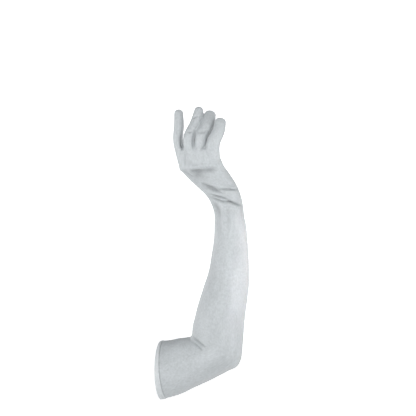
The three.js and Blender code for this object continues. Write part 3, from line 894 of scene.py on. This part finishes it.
def hem_stitches():
    """A row of short stitches round the hem, as one set of closed shapes."""
    step = np.linalg.norm(SECTION_VALUES[1, :3] - SECTION_VALUES[0, :3])
    ring = rings_of(sections_at([STITCH_ROW / step]), 720)[0]
    lengths = np.linalg.norm(np.diff(np.concatenate([ring, ring[:1]]), axis=0), axis=1)
    run = np.concatenate([[0], np.cumsum(lengths)])
    count = int(run[-1] / STITCH_PITCH)
    centre = ring.mean(0)
    looped = np.concatenate([ring, ring[:1]])
    points, faces, offset = [], [], 0
    for k in range(count):
        at = (k + np.array([-0.5, 0.5]) * STITCH_LENGTH / STITCH_PITCH) * run[-1] / count
        ends = np.stack([np.interp(at % run[-1], run, looped[:, d]) for d in range(3)], 1)
        out = unit(ends.mean(0) - centre)
        middle = ends.mean(0) + out * HEM_PROUD
        half = STITCH_THICKNESS / 2
        shape, skin = ball(middle, (half, half, STITCH_LENGTH / 2), ends[1] - ends[0])
        points.append(shape)
        faces += [[index + offset for index in face] for face in skin]
        offset += len(shape)
    return np.concatenate(points), faces


def ramp(nodes, low, high):
    """A colour ramp from one colour to another."""
    node = nodes.new("ShaderNodeValToRGB")
    node.color_ramp.elements[0].color = (*low, 1)
    node.color_ramp.elements[1].color = (*high, 1)
    return node


def satin(name, colour, variation):
    """Stretched satin: soft sheen, close threads that run up the limb, a slight darkening along the seams, and painted
    shade in the creases.
    """
    material = bpy.data.materials.new(name)
    material.use_nodes = True
    nodes, links = material.node_tree.nodes, material.node_tree.links
    shader = nodes["Principled BSDF"]
    cloth = nodes.new("ShaderNodeAttribute")
    cloth.attribute_name = "cloth"
    seam = nodes.new("ShaderNodeAttribute")
    seam.attribute_name = "seam"

    def stretched(scale, noise_scale, detail):
        mapping = nodes.new("ShaderNodeMapping")
        mapping.inputs["Scale"].default_value = scale
        links.new(cloth.outputs["Vector"], mapping.inputs["Vector"])
        texture = nodes.new("ShaderNodeTexNoise")
        texture.inputs["Scale"].default_value = noise_scale
        texture.inputs["Detail"].default_value = detail
        links.new(mapping.outputs["Vector"], texture.inputs["Vector"])
        return texture

    broad = stretched((0.05, 0.05, 0.02), 1.0, 3.0)
    grain = stretched((0.42, 0.42, 0.3), 1.0, 5.0)
    threads = stretched((3.0, 3.0, 0.25), 1.0, 2.0)

    dark = tuple(channel * (1 - variation) for channel in colour)
    light = tuple(min(channel * (1 + variation), 1) for channel in colour)
    tone = ramp(nodes, dark, light)
    tone.color_ramp.elements[0].position = 0.3
    tone.color_ramp.elements[1].position = 0.7
    mixed = nodes.new("ShaderNodeMix")
    mixed.data_type = "FLOAT"
    mixed.inputs["Factor"].default_value = 0.6
    links.new(broad.outputs["Fac"], mixed.inputs["A"])
    links.new(grain.outputs["Fac"], mixed.inputs["B"])
    links.new(mixed.outputs["Result"], tone.inputs["Fac"])

    near_seam = nodes.new("ShaderNodeMapRange")
    near_seam.inputs["From Max"].default_value = 0.9
    near_seam.inputs["To Min"].default_value = 0.82
    near_seam.inputs["To Max"].default_value = 1.0
    links.new(seam.outputs["Fac"], near_seam.inputs["Value"])
    darkened = nodes.new("ShaderNodeVectorMath")
    darkened.operation = "SCALE"
    links.new(tone.outputs["Color"], darkened.inputs[0])
    links.new(near_seam.outputs["Result"], darkened.inputs["Scale"])
    # Painted shade: the colour is darkened in the creases, down to two thirds of it in the deepest
    painted_crease_shade = nodes.new("ShaderNodeAttribute")
    painted_crease_shade.attribute_name = "painted_crease_shade"
    crease_shade_factor = nodes.new("ShaderNodeMapRange")
    crease_shade_factor.inputs["To Min"].default_value = 1.0
    crease_shade_factor.inputs["To Max"].default_value = 0.66
    links.new(painted_crease_shade.outputs["Fac"], crease_shade_factor.inputs["Value"])
    shaded = nodes.new("ShaderNodeVectorMath")
    shaded.operation = "SCALE"
    links.new(darkened.outputs["Vector"], shaded.inputs[0])
    links.new(crease_shade_factor.outputs["Result"], shaded.inputs["Scale"])
    links.new(shaded.outputs["Vector"], shader.inputs["Base Color"])

    rough = nodes.new("ShaderNodeMapRange")
    rough.inputs["To Min"].default_value = 0.36
    rough.inputs["To Max"].default_value = 0.5
    links.new(grain.outputs["Fac"], rough.inputs["Value"])
    links.new(rough.outputs["Result"], shader.inputs["Roughness"])

    crumple = nodes.new("ShaderNodeBump")
    crumple.inputs["Strength"].default_value = 0.35
    crumple.inputs["Distance"].default_value = 0.0012
    links.new(grain.outputs["Fac"], crumple.inputs["Height"])
    weave = nodes.new("ShaderNodeBump")
    weave.inputs["Strength"].default_value = 0.25
    weave.inputs["Distance"].default_value = 0.00015
    links.new(threads.outputs["Fac"], weave.inputs["Height"])
    links.new(crumple.outputs["Normal"], weave.inputs["Normal"])
    links.new(weave.outputs["Normal"], shader.inputs["Normal"])

    shader.inputs["Sheen Weight"].default_value = 0.08
    shader.inputs["Sheen Roughness"].default_value = 0.4
    shader.inputs["Specular IOR Level"].default_value = 0.4
    return material


SATIN_COLOUR = (0.445, 0.47, 0.482)
# Painted highlight: the hem's satin is lighter than the rest of the glove, standing in for a glare on the cuff
HEM_COLOUR_WITH_PAINTED_GLARE = (0.56, 0.585, 0.597)

surface, tris, fields = whole_glove()
pieces = label_pieces(tris, fields)
satin_material = satin("satin", SATIN_COLOUR, 0.16)
# The hem gets the lighter satin, a painted highlight
painted_glare_hem_material = satin("satin_hem_painted_glare", HEM_COLOUR_WITH_PAINTED_GLARE, 0.1)
for piece_name in ("back_panel", "palm_panel", "thumb", *(f"fourchette_{pair}" for pair in FOURCHETTE_PAIRS)):
    verts, faces, values = thickened(surface, tris[pieces == piece_name], CLOTH_THICKNESS)
    make_piece(piece_name, verts, faces, values, satin_material)

verts, faces, values = thickened(surface, tris[pieces == "cuff_hem"], HEM_THICKNESS)
stitch_verts, stitch_faces = hem_stitches()
quads = np.array([face for face in stitch_faces if len(face) == 4]) + len(verts)
fans = np.array([face for face in stitch_faces if len(face) == 3]) + len(verts)
faces = np.concatenate([faces, quads[:, [0, 1, 2]], quads[:, [0, 2, 3]], fans])
values["seam"] = np.concatenate([values["seam"], np.full(len(stitch_verts), 0.6)])
values["painted_crease_shade"] = np.concatenate([values["painted_crease_shade"], np.zeros(len(stitch_verts))])
values["cloth"] = np.concatenate([values["cloth"], stitch_verts])
hem = make_piece("cuff_hem", np.concatenate([verts, stitch_verts]), faces, values, painted_glare_hem_material)


# The backdrop: a wide pale floor that curves up into a low wall all round. It glows and lights the glove, and it glows
# less under the glove, a painted soft shade on the floor.
FLOOR = -0.12
WALL_RADIUS = 6.5
WALL_HEIGHT = 2.6
BEND = 1.2
PAINTED_SHADE_GLOW_BELOW = 0.3
GLOW_AROUND = 0.66


def backdrop():
    turn = np.linspace(0, math.pi / 2, 16)
    profile = [(radius, FLOOR) for radius in (0.001, 0.2, 0.4, 0.6, 0.85, 1.5, 3.0, WALL_RADIUS - BEND - 0.5)]
    profile += [(WALL_RADIUS - BEND + BEND * math.sin(t), FLOOR + BEND - BEND * math.cos(t)) for t in turn]
    profile += [(WALL_RADIUS, FLOOR + WALL_HEIGHT)]
    sides = 96
    verts = []
    for radius, height in profile:
        for k in range(sides):
            angle = 2 * math.pi * k / sides
            verts.append((radius * math.cos(angle), radius * math.sin(angle), height))
    faces = []
    for low in range(0, (len(profile) - 1) * sides, sides):
        for k in range(sides):
            following = (k + 1) % sides
            faces.append((low + k, low + following, low + sides + following, low + sides + k))
    faces.append(tuple(range(sides))[::-1])
    mesh = bpy.data.meshes.new("backdrop")
    mesh.from_pydata(verts, [], faces)
    mesh.shade_smooth()
    # Painted shade: the floor's glow is dimmer within 0.85 m of the middle, under the glove
    glow = np.repeat(np.interp([radius for radius, _ in profile], (0.2, 0.85), (PAINTED_SHADE_GLOW_BELOW, GLOW_AROUND)), sides)
    mesh.attributes.new("glow", "FLOAT", "POINT").data.foreach_set("value", glow.astype(np.float32))
    material = bpy.data.materials.new("backdrop")
    material.use_nodes = True
    shader = material.node_tree.nodes["Principled BSDF"]
    shader.inputs["Base Color"].default_value = (0.9, 0.9, 0.9, 1)
    shader.inputs["Roughness"].default_value = 0.9
    shader.inputs["Specular IOR Level"].default_value = 0.1
    shader.inputs["Emission Color"].default_value = (1, 1, 1, 1)
    attribute = material.node_tree.nodes.new("ShaderNodeAttribute")
    attribute.attribute_name = "glow"
    material.node_tree.links.new(attribute.outputs["Fac"], shader.inputs["Emission Strength"])
    mesh.materials.append(material)
    stage = bpy.data.objects.new("backdrop", mesh)
    bpy.context.scene.collection.objects.link(stage)


def area_light(name, place, aim, width, height, watts, spread=180):
    light = bpy.data.lights.new(name, "AREA")
    light.shape = "RECTANGLE"
    light.size = width
    light.size_y = height
    light.energy = watts
    light.spread = math.radians(spread)
    lamp = bpy.data.objects.new(name, light)
    lamp.location = place
    lamp.rotation_euler = (Vector(aim) - Vector(place)).to_track_quat("-Z", "Y").to_euler()
    bpy.context.scene.collection.objects.link(lamp)


backdrop()
MIDDLE = (0.07, -0.03, 0.2)
area_light("key", (0.1, -1.5, 1.6), MIDDLE, 1.2, 0.5, 9)
area_light("front", (0.3, -1.9, 0.6), MIDDLE, 3.8, 0.8, 9.5)
area_light("right", (1.7, -0.5, 0.3), MIDDLE, 0.5, 0.8, 2.2)
area_light("sleeve", (1.7, -0.5, 0.25), (0.12, -0.02, 0.15), 0.12, 0.12, 0.033, 7)
area_light("left", (-1.7, -0.6, 0.35), MIDDLE, 0.5, 0.8, 5)

world = bpy.data.worlds.new("studio")
world.use_nodes = True
world.node_tree.nodes["Background"].inputs["Color"].default_value = (0.93, 0.96, 1.0, 1)
world.node_tree.nodes["Background"].inputs["Strength"].default_value = 0.23
bpy.context.scene.world = world
bpy.context.scene.view_settings.view_transform = "Standard"

# The camera looks level along +Y, far off and close in, as the photograph does
camera = bpy.data.cameras.new("camera")
camera.lens = 300
camera.sensor_width = 36
eye = bpy.data.objects.new("camera", camera)
eye.location = (0.0722, -5.292, 0.2478)
eye.rotation_euler = (math.pi / 2, 0, 0)
bpy.context.scene.collection.objects.link(eye)
bpy.context.scene.camera = eye
